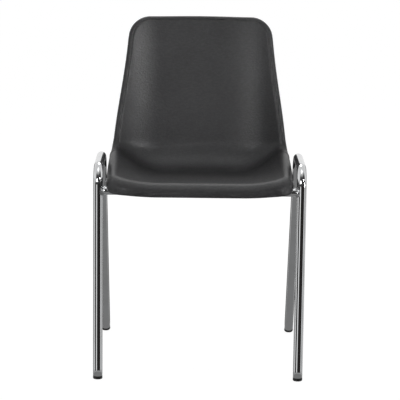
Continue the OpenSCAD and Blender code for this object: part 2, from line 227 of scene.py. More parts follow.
plasticLook = {
    "colour": (0.0226, 0.0224, 0.0236),
    "toneLevels": (0.66, 1.36),      # the darkest and the palest of the slow tones, as shares of it
    # painted shade: the grain's low hollows are blended towards this darker colour, by up to this share
    "pitColourAndShade": (0.012, 0.012, 0.013), "hollowShadeLevel": 0.25,
    "scuffColour": (0.085, 0.086, 0.09), "scuffLevel": 0.35, "wornLevel": 0.55,
    "roughness": 0.39, "cloudRoughness": 0.1, "pitRoughness": 0.08, "ior": 1.5,
    "grainDepth": 0.2, "bumpStrength": 1.0,
    "grainSize": 1.5,                # one pebble of the leather grain
    "pebbleSoftness": 0.35,
    "creaseSize": 2.5,               # pebbles between two creases
    # shares of the height: pebbles, creases, a fine tooth, and slow unevenness between them
    "pebbleShare": 0.55, "creaseShare": 0.25, "toothShare": 0.2, "unevenShare": 3.0,
    "tooth": (1900.0, 3.0, 0.6), "uneven": (220.0, 2.0, 0.5),
    "cloud": (9.0, 4.0, 0.55), "patch": (34.0, 3.0, 0.6),
    "rubs": (260.0, 3.0, 0.65), "rubStretch": (1, 0.18, 0.18),
    "streaks": (340.0, 2.0, 0.5), "streakStretch": (0.3, 1, 1),
    "cloudShare": 0.45,              # of the tones, and the level streaks have the rest
    "creased": (0.0, 0.18), "pitted": (1.85, 2.4), "toned": (0.3, 0.7),
    "cloudScuffed": (0.52, 0.66), "rubbed": (0.66, 0.8),
    "edgeWorn": (0.505, 0.56), "patchWorn": (0.38, 0.62),
}


def makePlastic(look):
    f = newFinish("grained_plastic")
    place = f.objectPlace()
    uneven = f.noise(place, *look["uneven"])
    pebbles = f.add("ShaderNodeTexVoronoi", {"feature": "SMOOTH_F1"}, {
        "Vector": place, "Scale": 1 / (look["grainSize"] * mm),
        "Smoothness": look["pebbleSoftness"], "Randomness": 1.0})
    creases = f.add("ShaderNodeTexVoronoi", {"feature": "DISTANCE_TO_EDGE"}, {
        "Vector": place, "Scale": 1 / (look["creaseSize"] * look["grainSize"] * mm), "Randomness": 1.0})
    grain = look["pebbleShare"] * (1 - pebbles)
    grain = grain + look["creaseShare"] * f.range(creases, *look["creased"])
    grain = grain + look["toothShare"] * f.noise(place, *look["tooth"]) + look["unevenShare"] * uneven
    pits = f.range(grain, *look["pitted"])
    # a slow cloudiness of colour and gloss, and paler scuffs where people rub against it
    cloud = f.noise(place, *look["cloud"])
    rubs = f.noise(f.objectPlace(look["rubStretch"]), *look["rubs"])
    scuffs = f.range(cloud, *look["cloudScuffed"]) * f.range(rubs, *look["rubbed"])
    sharpness = f.add("ShaderNodeNewGeometry", out=7)
    worn = (f.range(sharpness, *look["edgeWorn"])
            * f.range(f.noise(place, *look["patch"]), *look["patchWorn"]))
    mark = scuffs * look["scuffLevel"] + worn * look["wornLevel"]
    streaks = f.noise(f.objectPlace(look["streakStretch"]), *look["streaks"])
    tone = (look["cloudShare"] * f.range(cloud, *look["toned"])
            + (1 - look["cloudShare"]) * f.range(streaks, *look["toned"]))
    darker, paler = [[c * level for c in look["colour"]] for level in look["toneLevels"]]
    # painted shade: where the grain's height is low, in its creases and hollows, the colour is painted
    # darker
    grainedWithHollowShade = f.blend(look["hollowShadeLevel"] * (1 - pits), f.blend(tone, darker, paler), look["pitColourAndShade"])
    rough = look["roughness"] - look["cloudRoughness"] / 2 + look["cloudRoughness"] * cloud
    return f.surface({
        "Base Color": f.blend(mark, grainedWithHollowShade, look["scuffColour"]), "IOR": look["ior"],
        "Roughness": rough + look["pitRoughness"] * (1 - pits),
        "Normal": f.bump(grain, look["grainDepth"], look["bumpStrength"])})


chromeLook = {
    "colour": (0.80, 0.81, 0.82), "hazeColour": (0.76, 0.765, 0.77),
    "roughness": 0.05, "hazeRoughness": 0.05, "rubRoughness": 0.09,
    "depth": 0.006, "bumpStrength": 0.35, "peelShare": 0.7, "rubShare": 0.5,
    "haze": (30.0, 4.0, 0.6), "peel": (420.0, 2.0, 0.5), "rubs": (2600.0, 3.0, 0.7),
    "rubStretch": (1, 1, 0.04),      # long rubs down the legs
    "rubbed": (0.6, 0.78), "hazy": (0.45, 0.75), "tinted": (0.35, 0.7),
}


def makeChrome(look):
    f = newFinish("bright_chrome")
    place = f.objectPlace()
    haze = f.noise(place, *look["haze"])
    orangePeel = f.noise(place, *look["peel"])
    rubs = f.noise(f.objectPlace(look["rubStretch"]), *look["rubs"])
    fineRubs = f.range(rubs, *look["rubbed"])
    rough = look["roughness"] + look["hazeRoughness"] * f.range(haze, *look["hazy"])
    height = look["peelShare"] * orangePeel + look["rubShare"] * fineRubs
    return f.surface({
        "Base Color": f.blend(f.range(haze, *look["tinted"]), look["colour"], look["hazeColour"]),
        "Metallic": 1.0, "Roughness": rough + look["rubRoughness"] * fineRubs,
        "Normal": f.bump(height, look["depth"], look["bumpStrength"])})


weldLook = {
    "colour": (0.62, 0.63, 0.64), "pitColourAndShade": (0.42, 0.42, 0.42),
    "roughness": 0.36, "pitRoughness": 0.2, "depth": 0.08, "bumpStrength": 0.6,
    "pits": (900.0, 3.0, 0.6), "roughPits": (0.45, 0.75), "darkPits": (0.4, 0.7),
}


def makeWeld(look):
    f = newFinish("chromed_weld")
    pits = f.noise(f.objectPlace(), *look["pits"])
    return f.surface({
        "Base Color": f.blend(f.range(pits, *look["darkPits"]), look["colour"], look["pitColourAndShade"]),
        "Metallic": 1.0,
        "Roughness": look["roughness"] + look["pitRoughness"] * f.range(pits, *look["roughPits"]),
        "Normal": f.bump(pits, look["depth"], look["bumpStrength"])})


glideLook = {
    "colour": (0.012, 0.012, 0.012), "scrapeColour": (0.075, 0.072, 0.068),
    "roughness": 0.42, "grainRoughness": 0.14, "scrapeRoughness": 0.2,
    "depth": 0.05, "bumpStrength": 0.8, "grain": (1500.0, 3.0, 0.6), "scrape": (700.0, 3.0, 0.6),
    "scrapeHeight": 3,       # how far above the floor a glide is scraped
    "scraped": (0.42, 0.62),
}


def makeGlidePlastic(look):
    f = newFinish("black_glide_plastic")
    place = f.objectPlace()
    grain = f.noise(place, *look["grain"])
    height = f.parts(place)[2]
    nearFloor = 1 - f.range(height, 0.0, look["scrapeHeight"] * mm)
    scrape = nearFloor * f.range(f.noise(place, *look["scrape"]), *look["scraped"])
    rough = look["roughness"] + look["grainRoughness"] * grain + look["scrapeRoughness"] * scrape
    return f.surface({
        "Base Color": f.blend(scrape, look["colour"], look["scrapeColour"]), "Roughness": rough,
        "Normal": f.bump(grain, look["depth"], look["bumpStrength"])})


zincLook = {
    "colour": (0.60, 0.61, 0.63), "spangleColour": (0.50, 0.51, 0.52),
    "roughness": 0.26, "spangleRoughness": 0.14, "drawnRoughness": 0.12,
    "depth": 0.02, "bumpStrength": 0.5, "spangleScale": 420.0, "drawn": (2200.0, 3.0, 0.6),
    "drawnStretch": (0.06, 1, 1),    # fine lines across the chair, as the strip was rolled
}


def makeZinc(look):
    f = newFinish("zinc_plate")
    spangle = f.add("ShaderNodeTexVoronoi", {}, {
        "Vector": f.objectPlace(), "Scale": look["spangleScale"]}, out=1)
    sparkle = f.add("ShaderNodeSeparateColor", {}, {0: spangle})
    drawn = f.noise(f.objectPlace(look["drawnStretch"]), *look["drawn"])
    rough = look["roughness"] + look["spangleRoughness"] * sparkle + look["drawnRoughness"] * drawn
    return f.surface({
        "Base Color": f.blend(sparkle, look["colour"], look["spangleColour"]),
        "Metallic": 1.0, "Roughness": rough,
        "Normal": f.bump(drawn, look["depth"], look["bumpStrength"])})


rubberLook = {
    "colour": (0.022, 0.022, 0.022), "bloomColour": (0.06, 0.059, 0.057), "bloomLevel": 0.6,
    "roughness": 0.7, "bloomRoughness": 0.15, "depth": 0.1, "bumpStrength": 0.8,
    "grain": (1300.0, 4.0, 0.65), "bloom": (60.0, 3.0, 0.5), "bloomed": (0.45, 0.75),
}


def makeRubber(look):
    f = newFinish("black_rubber")
    place = f.objectPlace()
    grain = f.noise(place, *look["grain"])
    bloom = f.range(f.noise(place, *look["bloom"]), *look["bloomed"])
    return f.surface({
        "Base Color": f.blend(look["bloomLevel"] * bloom, look["colour"], look["bloomColour"]),
        "Roughness": look["roughness"] + look["bloomRoughness"] * bloom,
        "Normal": f.bump(grain, look["depth"], look["bumpStrength"])})


brassLook = {
    "colour": (0.76, 0.58, 0.25), "stainColour": (0.48, 0.34, 0.15),
    "roughness": 0.24, "stainRoughness": 0.2, "depth": 0.02, "bumpStrength": 0.6,
    "turned": (3200.0, 2.0, 0.5), "stain": (160.0, 3.0, 0.5), "stained": (0.45, 0.7),
    "turnedStretch": (0.1, 0.1, 1),  # level tool marks round each insert
}


def makeBrass(look):
    f = newFinish("turned_brass")
    turned = f.noise(f.objectPlace(look["turnedStretch"]), *look["turned"])
    stain = f.range(f.noise(f.objectPlace(), *look["stain"]), *look["stained"])
    return f.surface({
        "Base Color": f.blend(stain, look["colour"], look["stainColour"]),
        "Metallic": 1.0, "Roughness": look["roughness"] + look["stainRoughness"] * stain,
        "Normal": f.bump(turned, look["depth"], look["bumpStrength"])})


finishes = {
    "shell_plastic": makePlastic(plasticLook),
    "chrome": makeChrome(chromeLook),
    "weld": makeWeld(weldLook),
    "glide_plastic": makeGlidePlastic(glideLook),
    "zinc": makeZinc(zincLook),
    "rubber": makeRubber(rubberLook),
    "brass": makeBrass(brassLook),
}
print("finishes made:", len(finishes))


# seat shell

shell = {
    "chairHeight": 799, "seatHeight": 467, "thickness": 4,
    # outline from above and from the front
    "seatWidth": 437, "backWidth": 349, "sideWave": 2.2, "frontTaper": 7, "taperShare": 0.3,
    "frontCorner": 57, "topCorner": 50, "topCrown": 5,
    # the middle line from the front edge to the top, as lengths, angles in degrees and the bowl's radius
    "overhang": 42, "seatRun": 311, "seatTilt": 6, "bowlRadius": 80, "backRecline": 9, "backFlare": 8,
    # how far the sides rise over the middle, the level share of the half width, and the sides' steepness
    "frontDish": 13, "bowlDish": 48, "topDish": 20,
    "seatFlatShare": 0.5, "backFlatShare": 0, "sideSteepness": 4,
    # the rim: a level flange with a groove, a roll, and a lip
    "seatFlange": 2, "backFlange": 6, "frontRoll": 28.5, "sideRoll": 18, "backRoll": 8,
    "lip": 3.5,
    "frontLevel": 0.55,      # share of the front's rise that the lip takes back, to end more level
    "grooveDepth": 0.8, "grooveMiddle": 0.6, "grooveWidth": 0.17,
    "grooveEnds": 6,         # the groove fades out over a sixth of the flange on either side
    "lipRings": {0.6: 0, 1.0: 0.7},      # place along the lip, and how far its corner is rounded there
}
middleY = -shell["overhang"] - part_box("seat_shell")[0].y / mm     # from the front legs to the origin


def sideNormal(angle):
    return np.stack([-sind(angle), cosd(angle)], -1)


class ShellShape:
    # the same shell as the solid's, with functions of x across and s along its middle
    def __init__(self, sizes):
        for key, size in sizes.items():
            setattr(self, key, size)
        tilt = self.seatTilt
        edgeY = ((self.seatFlange + self.frontRoll) * cosd(tilt)
                 + (self.frontRoll + self.lip) * sind(tilt) - self.overhang)
        self.seatEdge = np.array([edgeY, self.seatHeight])
        self.backFoot = 90 - self.backRecline
        self.backTop = self.backFoot - self.backFlare
        self.bowlLength = self.bowlRadius * np.radians(tilt + self.backFoot)
        self.bowlMiddle = self.seatRun + self.bowlLength / 2
        self.bowlEndS = self.seatRun + self.bowlLength
        self.seatEnd = self.seatEdge + self.seatRun * np.array([cosd(tilt), -sind(tilt)])
        self.bowlEnd = self.seatEnd + self.bowlRadius * (
            sideNormal(-tilt) - sideNormal(self.backFoot))
        edgeZ = (self.chairHeight - self.backFlange * sind(self.backTop)
                 - self.backRoll * (1 - cosd(self.backTop)))
        self.backArc = (edgeZ - self.bowlEnd[1]) / (cosd(self.backTop) - cosd(self.backFoot))
        self.length = self.bowlEndS + self.backArc * np.radians(self.backFlare)
        self.taperS = self.seatRun + self.taperShare * self.bowlLength

    def heading(self, s):
        bowl = np.degrees((s - self.seatRun) / self.bowlRadius) - self.seatTilt
        back = self.backFoot - np.degrees((s - self.bowlEndS) / self.backArc)
        return np.where(s < self.seatRun, -self.seatTilt, np.where(s < self.bowlEndS, bowl, back))

    def centreLine(self, s):
        along = np.array([cosd(self.seatTilt), -sind(self.seatTilt)])
        seat = self.seatEdge + np.asarray(s)[..., None] * along
        turned = sideNormal(self.heading(s))
        bowl = self.seatEnd + self.bowlRadius * (sideNormal(-self.seatTilt) - turned)
        back = self.bowlEnd + self.backArc * (turned - sideNormal(self.backFoot))
        where = np.asarray(s)[..., None]
        return np.where(where < self.seatRun, seat, np.where(where < self.bowlEndS, bowl, back))

    def backShare(self, s):
        # 0 on the seat and 1 on the back
        return ease((s - self.seatRun) / self.bowlLength)

    def rise(self, s):
        front = lerp(self.frontDish, self.bowlDish, ease(s / self.bowlMiddle))
        share = ease((s - self.bowlMiddle) / (self.length - self.bowlMiddle))
        return np.where(s < self.bowlMiddle, front, lerp(self.bowlDish, self.topDish, share))

    def outerHalf(self, s):
        t = np.maximum(0, (s - self.taperS) / (self.length - self.taperS))
        front = self.frontTaper * np.maximum(0, 1 - s / self.seatRun) ** 3
        return lerp(self.seatWidth, self.backWidth, t) / 2 + self.sideWave * sind(360 * t) - front

    def flangeWidth(self, s):
        return lerp(self.seatFlange, self.backFlange, self.backShare(s))

    def rollRadius(self, s):
        return lerp(self.sideRoll, self.backRoll, self.backShare(s))

    def innerHalf(self, s):
        half, roll = self.outerHalf(s), self.rollRadius(s)
        slope = np.arctan(self.sideSteepness * self.rise(s) / (half - roll))
        lean = (1 - self.backShare(s)) * slope
        return half - self.flangeWidth(s) * np.cos(lean) - roll * (1 + np.sin(lean))

    def dish(self, x, s):
        # the power keeps the sides as steep at the rim whatever share of the width is flat
        curved = 1 - lerp(self.seatFlatShare, self.backFlatShare, self.backShare(s))
        share = np.maximum(0, 1 - (1 - np.abs(x) / self.innerHalf(s)) / curved)
        return self.rise(s) * share ** (self.sideSteepness * curved)

    def facePoint(self, x, s):
        place = self.centreLine(s) + self.dish(x, s)[..., None] * sideNormal(self.heading(s))
        return np.concatenate([np.asarray(x)[..., None], place], -1)

    def slopes(self, x, s, probe=0.2):
        across = self.facePoint(x + probe, s) - self.facePoint(x - probe, s)
        along = self.facePoint(x, s + probe) - self.facePoint(x, s - probe)
        return across, along

    def faceNormal(self, x, s):
        return unit(np.cross(*self.slopes(x, s)))


shape = ShellShape(shell)

shellMesh = {
    "frontSteps": 26, "cornerSteps": 18, "seatSteps": 34, "bowlSteps": 34, "backSteps": 40,
    "topSteps": 24, "faceRings": 44, "flangeRings": 12, "rollRings": 14,
}


def halfEdge(shape, steps):
    # the edge of the upper face inside the rim, from the front middle round to the top middle
    frontInner = shape.frontCorner - shape.frontRoll
    topInner = shape.topCorner - shape.backRoll - shape.backFlange
    sideEnd = shape.length - topInner - shape.topCrown
    frontX = shape.innerHalf(0.0) - frontInner
    topX = shape.innerHalf(shape.length) - topInner
    turn = np.linspace(0, 90, steps["cornerSteps"] + 1)

    def crowned(x, s):
        return x, s - shape.topCrown * (x / shape.innerHalf(s)) ** 2
    places = [(frontX * i / steps["frontSteps"], 0.0) for i in range(steps["frontSteps"])]
    for angle in turn:
        s = frontInner * (1 - cosd(angle))
        places.append((shape.innerHalf(s) - frontInner * (1 - sind(angle)), s))
    stretches = ((frontInner, shape.seatRun, steps["seatSteps"], 1),
                 (shape.seatRun, shape.bowlEndS, steps["bowlSteps"], 1),
                 (shape.bowlEndS, sideEnd, steps["backSteps"], 0))
    for start, end, count, last in stretches:
        places += [(shape.innerHalf(s), s) for s in np.linspace(start, end, count + 1)[1:count + last]]
    for angle in turn:
        s = shape.length - topInner * (1 - sind(angle))
        places.append(crowned(shape.innerHalf(s) - topInner * (1 - cosd(angle)), s))
    places += [crowned(topX * i / steps["topSteps"], shape.length)
               for i in range(steps["topSteps"] - 1, -1, -1)]
    return np.array(places, float)


def rimRings(shape, edge, steps, depth):
    # flange with its groove, then the roll and the lip, pushed inwards by depth
    x, s = edge[:, 0], edge[:, 1]
    run = unit(np.roll(edge, -1, 0) - np.roll(edge, 1, 0))
    out = np.stack([run[:, 1], -run[:, 0]], -1)
    across, along = shape.slopes(x, s)
    normal = unit(np.cross(across, along))
    outward = unit(across * out[:, :1] + along * out[:, 1:])
    flat = sideNormal(shape.heading(s))
    slope = np.maximum(0, np.degrees(np.arcsin(np.sum(outward[:, 1:] * flat, -1))))
    share = shape.backShare(s)
    fold = share * slope
    turn = 90 + slope - fold
    front = ease(-out[:, 1]) * (1 - share)
    roll = lerp(shape.rollRadius(s), shape.frontRoll, front)
    lipLength = shape.lip + shape.frontLevel * front * shape.dish(x, s)
    flange = shape.flangeWidth(s)
    base = shape.facePoint(x, s)

    def place(alongOut, up, angle, sink):
        return (base + (alongOut - sink * sind(angle))[:, None] * outward
                + (up - sink * cosd(angle))[:, None] * normal)
    rings = []
    for k in range(steps["flangeRings"] + 1):
        t = k / steps["flangeRings"]
        angle = fold if k else fold / 2
        hollow = np.exp(-((t - shape.grooveMiddle) / shape.grooveWidth) ** 2)
        start, end = min(1, t * shape.grooveEnds), min(1, (1 - t) * shape.grooveEnds)
        groove = shape.grooveDepth * share * hollow * start * end
        sink = groove if depth == 0 else depth / cosd(angle - fold)
        rings.append(place(flange * t * cosd(fold), -flange * t * sind(fold), angle, sink))
    for k in range(1, steps["rollRings"] + 1):
        angle = fold + turn * k / steps["rollRings"]
        alongOut = flange * cosd(fold) + roll * (sind(angle) - sind(fold))
        up = -flange * sind(fold) - roll * (cosd(fold) - cosd(angle))
        rings.append(place(alongOut, up, angle, depth))
    end = fold + turn
    lip = cosd(end)[:, None] * outward - sind(end)[:, None] * normal
    inwards = -(sind(end)[:, None] * outward + cosd(end)[:, None] * normal)
    rollEnd = rings[-1]
    for t, rounding in shape.lipRings.items():
        nudge = rounding if depth == 0 else -rounding
        rings.append(rollEnd + (lipLength * t)[:, None] * lip + nudge * inwards)
    return rings


def buildShell(shape, steps):
    half = halfEdge(shape, steps)
    edge = np.concatenate([half, (half * [-1, 1])[-2:0:-1]])
    count = len(edge)
    spineS = np.clip(edge[:, 1], shape.frontCorner, shape.length - shape.topCorner)
    upper, under = [], []
    for share in np.linspace(0, 1, steps["faceRings"] + 1)[1:-1]:
        x, s = edge[:, 0] * share, lerp(spineS, edge[:, 1], share)
        point = shape.facePoint(x, s)
        upper.append(point)
        under.append(point - shape.thickness * shape.faceNormal(x, s))
    upper += rimRings(shape, edge, steps, 0)
    under += rimRings(shape, edge, steps, shape.thickness)
    rings = upper + under[::-1]
    points = np.concatenate(rings)
    faces = [face[::-1] for face in ringFaces(len(rings), count)]
    # the narrow innermost ring is closed across: point i lies opposite to point -i
    first, last = steps["frontSteps"] + 1, len(half) - 2 - steps["topSteps"]
    top = len(half) - 1

    def fans(start, end, hub):
        # triangles from a corner to one end of the ring, on both halves
        return ([(i, i + 1, hub) for i in range(start, end)]
                + [(-i - 1, -i, -hub) for i in range(start, end)])
    cap = fans(0, first - 1, first) + [(0, first, -first)]
    cap += [(i, i + 1, -i - 1, -i) for i in range(first, last)]
    cap += fans(last + 1, top, last) + [(top, -last, last)]
    start = (len(rings) - 1) * count
    faces += [tuple(i % count for i in face) for face in cap]
    faces += [tuple(start + i % count for i in face[::-1]) for face in cap]
    return points - [0, middleY, 0], faces


# chromed side frames

sideFrame = {
    "tubeWidth": 22, "tubeWall": 1.5, "track": 465, "riseOverSeat": 40, "barLength": 188,
    "footLength": 440, "bendRadius": 40, "collarHeight": 7, "glideFlat": 1.3, "endBevel": 0.4,
    "ringSides": 64, "legSteps": 24, "bendSteps": 28, "barSteps": 10,
}
halfTrack = sideFrame["track"] / 2
tubeR = sideFrame["tubeWidth"] / 2
barZ = shell["seatHeight"] + sideFrame["riseOverSeat"] - tubeR
rake = math.degrees(math.atan((sideFrame["footLength"] - sideFrame["barLength"]) / barZ))
rearGlideRise = (tubeR * sind(rake) - sideFrame["glideFlat"]) / cosd(rake)


def framePath(look):
    # centre line as [y, z] with its headings, from the front foot over the bar to the rear foot
    bend, bar = look["bendRadius"], look["barLength"]
    legTop, rearTurn = barZ - bend, 90 - rake
    tangent = bend * math.tan(math.radians(rearTurn / 2))
    path = [((0, z), 90.0) for z in np.linspace(look["collarHeight"], legTop, look["legSteps"])]
    for angle in np.linspace(0, 90, look["bendSteps"] + 1)[1:]:
        path.append(((bend * (1 - cosd(angle)), legTop + bend * sind(angle)), 90 - angle))
    for y in np.linspace(bend, bar - tangent, look["barSteps"])[1:]:
        path.append(((y, barZ), 0.0))
    for angle in np.linspace(0, rearTurn, look["bendSteps"] + 1)[1:]:
        path.append(((bar - tangent + bend * sind(angle), barZ - bend * (1 - cosd(angle))), -angle))
    legEnd = barZ / cosd(rake) - rearGlideRise - look["collarHeight"]
    for run in np.linspace(tangent, legEnd, look["legSteps"])[1:]:
        path.append(((bar + run * sind(rake), barZ - run * cosd(rake)), rake - 90))
    return path


def tubeRings(path, x, radius, sides):
    around = circle(sides)
    rings = []
    for (y, z), heading in path:
        across = np.array([0, -sind(heading), cosd(heading)])
        ring = np.array([x, y, z]) + radius * (np.cos(around)[:, None] * np.array([1, 0, 0])
                                               + np.sin(around)[:, None] * across)
        rings.append(ring)
    return rings


def hollowTube(outer, inner, sides):
    # closed skin: along the outside, round the end and back through the bore
    rings = outer + inner[::-1]
    return np.concatenate(rings), ringFaces(len(rings), sides, closeRows=True)


def cutEnd(ring, neighbour, bevel):
    # the rim and the last full ring of a small deburred edge, where the tube was cut
    centre = ring.mean(0)
    step = unit(centre - neighbour.mean(0))
    return centre + (ring - centre) * (1 - bevel / tubeR), ring - step * bevel


def buildSideFrame(look, side):
    path = framePath(look)
    outer = tubeRings(path, side * halfTrack, tubeR, look["ringSides"])
    inner = tubeRings(path, side * halfTrack, tubeR - look["tubeWall"], look["ringSides"])
    firstRim, firstRing = cutEnd(outer[0], outer[1], look["endBevel"])
    lastRim, lastRing = cutEnd(outer[-1], outer[-2], look["endBevel"])
    outer = [firstRim, firstRing] + outer[1:-1] + [lastRing, lastRim]
    points, faces = hollowTube(outer, inner, look["ringSides"])
    return points - [0, middleY, 0], faces


# cross tubes, coped to the legs

crossTube = {
    "tubeWidth": 20, "tubeWall": 1.5, "seatPad": 6.5, "embed": 0.3, "ringSides": 64, "lengthSteps": 41,
}
crossR = crossTube["tubeWidth"] / 2
underSeat = shell["thickness"] / cosd(shell["seatTilt"]) + crossTube["seatPad"] + crossR
tanTilt, tanRake = math.tan(math.radians(shell["seatTilt"])), math.tan(math.radians(rake))


def seatHeightAt(y):
    return shell["seatHeight"] - (y - shape.seatEdge[0]) * tanTilt


frontTubeZ = seatHeightAt(0) - underSeat
rearTubeZ = seatHeightAt(sideFrame["barLength"] + barZ * tanRake) - underSeat
rearTubeZ = rearTubeZ / (1 - tanRake * tanTilt)      # the tube stays under the seat along the raked legs
# y and z of each tube's middle, and how far the legs lean that it meets
crossTubes = {
    "front": (0.0, frontTubeZ, 0.0),
    "rear": (sideFrame["barLength"] + (barZ - rearTubeZ) * tanRake, rearTubeZ, rake),
}


def legInset(offsetY, offsetZ, lean):
    # how far the leg's surface lies inside its widest line, beside the leg's own centre line
    aside = offsetY * cosd(lean) + offsetZ * sind(lean)
    return tubeR - np.sqrt(np.maximum(0, tubeR ** 2 - aside ** 2))


def buildCrossTube(look, y, z, lean):
    around = circle(look["ringSides"])
    rings = []
    for radius in (crossR, crossR - look["tubeWall"]):
        dy, dz = radius * np.cos(around), radius * np.sin(around)
        end = halfTrack - tubeR + legInset(dy, dz, lean) + look["embed"]
        rings.append([np.stack([end * t, y + dy, z + dz], -1)
                      for t in np.linspace(-1, 1, look["lengthSteps"])])
    points, faces = hollowTube(rings[0], rings[1], look["ringSides"])
    return points - [0, middleY, 0], [face[::-1] for face in faces]


weld = {
    "leg": 2.9,              # how far the bead reaches along the cross tube
    "legShare": 0.9,         # and its share of that on the leg
    "uneven": 0.25, "unevenWaves": (1, 2, 3, 5), "phases": 6,
    "ripple": 0.22, "rippleLength": 2.4,
    "sag": 0.2,              # how hollow the bead is
    "widestReach": 0.93,     # the bead stays inside this share of the leg's half width
    "sunkInTube": 0.35, "sunkInLeg": 0.5, "rootDepth": (0.6, 0.5),
    "ringSides": 160, "beadRings": 9,
    "seeds": {"front": {left: 12, right: 10}, "rear": {left: 16, right: 14}},
}


def buildWeld(look, side, y, z, lean, seed):
    # a rippled fillet round the joint, from the cross tube out onto the leg
    count = look["ringSides"]
    around = circle(count)
    rng = np.random.default_rng(seed)
    ripples = round(2 * math.pi * crossR / look["rippleLength"])
    wave = np.sin(around * ripples / 2 + rng.uniform(0, look["phases"]))
    ripple = look["ripple"] * (np.abs(wave) - 0.5)
    uneven = sum(rng.uniform(-look["uneven"], look["uneven"])
                 * np.sin(around * k + rng.uniform(0, look["phases"])) for k in look["unevenWaves"])
    leg = look["leg"] + uneven
    dy, dz = np.cos(around), np.sin(around)

    def legPoint(radius):
        # on the leg, where the cross tube grown to this radius would meet it
        aside = radius * (dy * cosd(lean) + dz * sind(lean))
        along = radius * (-dy * sind(lean) + dz * cosd(lean))
        reach = np.clip(aside / tubeR, -look["widestReach"], look["widestReach"])
        x = halfTrack - tubeR * np.sqrt(1 - reach ** 2)
        aside = reach * tubeR
        return np.stack([side * x, y + aside * cosd(lean) - along * sind(lean),
                         z + aside * sind(lean) + along * cosd(lean)], -1)
    intoLeg = np.array([side, 0, 0])
    joint = legPoint(np.full(count, crossR))
    onLeg = legPoint(crossR + leg * look["legShare"])
    outward = np.stack([0 * dy, dy, dz], -1)
    onTube = joint - intoLeg * leg[:, None]
    rings = [onTube - outward * look["sunkInTube"]]
    for t in np.linspace(0, 1, look["beadRings"]):
        chord = lerp(onTube, onLeg, t)
        arch = 4 * t * (1 - t)
        lift = unit(chord - joint + 1e-6) * (ripple * arch)[:, None]     # never a unit of zero
        rings.append(chord + (joint - chord) * look["sag"] * arch + lift)
    rings.append(onLeg + intoLeg * look["sunkInLeg"])
    rings.append(joint + intoLeg * look["rootDepth"][0] - outward * look["rootDepth"][1])
    faces = ringFaces(len(rings), count, closeRows=True)
    if side == right:
        faces = [face[::-1] for face in faces]
    return np.concatenate(rings) - [0, middleY, 0], faces


for side, sideName in sideNames.items():
    points, faces = buildSideFrame(sideFrame, side)
    makePiece(sideName + "_tube_loop", points, faces, finishes["chrome"],
              [sideName + "_side_frame"])
for end, (y, z, lean) in crossTubes.items():
    points, faces = buildCrossTube(crossTube, y, z, lean)
    makePiece(end + "_coped_tube", points, faces, finishes["chrome"], [end + "_cross_tube"])
    for side, sideName in sideNames.items():
        points, faces = buildWeld(weld, side, y, z, lean, weld["seeds"][end][side])
        makePiece(f"{end}_{sideName}_weld", points, faces, finishes["weld"])
print("frames made")


# the shell with the bosses that hold its brass inserts

boss = {
    "aside": 84, "screwOffset": 18, "width": 13, "bore": 7, "boreDepth": 6.6,
    "fillet": 1.6, "edge": 0.4,
    "sunk": 1.5,             # how far the boss and its fillet's skirt run up into the shell
    "skirt": 0.2,
    "earDrop": 2.5,          # how far the boss ends below the top of the cross tube
    "ringSides": 48, "filletRings": 7,
}


def undersideZ(y):
    # the shell's lower face in the middle of the chair, with the front roll
    rollY = shape.seatEdge[0] - shell["seatFlange"] * cosd(shell["seatTilt"])
    inside = shell["frontRoll"] - shell["thickness"]
    rolled = (shell["seatHeight"] - shell["frontRoll"]
              + np.sqrt(np.maximum(0, inside ** 2 - np.maximum(0, rollY - y) ** 2)))
    return np.where(y > rollY, seatHeightAt(y) - shell["thickness"] / cosd(shell["seatTilt"]), rolled)


def buildBoss(look, x, y, footZ):
    # a moulded boss with a fillet at the shell, a softened foot and a blind bore for its insert
    count, outerR, boreR = look["ringSides"], look["width"] / 2, look["bore"] / 2
    fillet, edge = look["fillet"], look["edge"]
    around = circle(count)

    def ring(radius, height, underShell=False):
        # height is over the shell's lower face, which the ring follows, or over the level foot
        ringX, ringY = x + radius * np.cos(around), y + radius * np.sin(around)
        z = undersideZ(ringY) + height if underShell else np.full(count, footZ + height)
        return np.stack([ringX, ringY, z], -1)
    rings = [ring(outerR, look["sunk"], True), ring(outerR + fillet, look["skirt"], True)]
    for angle in np.linspace(0, 90, look["filletRings"]):
        rings.append(ring(outerR + fillet * (1 - sind(angle)), -fillet * (1 - cosd(angle)), True))
    rings += [ring(outerR, edge), ring(outerR - edge, 0.0), ring(boreR + edge, 0.0),
              ring(boreR, edge), ring(boreR, look["boreDepth"])]
    faces = [face[::-1] for face in ringFaces(len(rings), count)]
    start = (len(rings) - 1) * count
    faces += [tuple(range(count)), tuple(start + i for i in range(count - 1, -1, -1))]
    return np.concatenate(rings) - [0, middleY, 0], faces


shellParts = []
addMesh(shellParts, *buildShell(shape, shellMesh))
for y, z, _ in crossTubes.values():
    for side in sideNames:
        for way in (-1, 1):
            place = (side * boss["aside"], y + way * boss["screwOffset"], z + crossR - boss["earDrop"])
            addMesh(shellParts, *buildBoss(boss, *place))
points, faces = joined(shellParts)
makePiece("seat_shell_skin", points, faces, finishes["shell_plastic"], ["seat_shell"])
print("shell made:", len(points), "points")


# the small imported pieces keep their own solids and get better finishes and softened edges

smallPieces = {
    "glide_plastic": ["front_left_glide", "front_right_glide", "rear_left_glide", "rear_right_glide"],
    "zinc": ["front_left_saddle", "front_right_saddle", "rear_left_saddle", "rear_right_saddle",
             "seat_washers", "seat_screws"],
    "rubber": ["front_left_pad", "front_right_pad", "rear_left_pad", "rear_right_pad"],
    "brass": ["seat_inserts"],
}
smallEdges = {
    "width": {"glide_plastic": 0.35, "zinc": 0.3, "rubber": 0.4, "brass": 0.15},
    "segments": 2,
    "sharperThan": 50,       # degrees between two faces
}

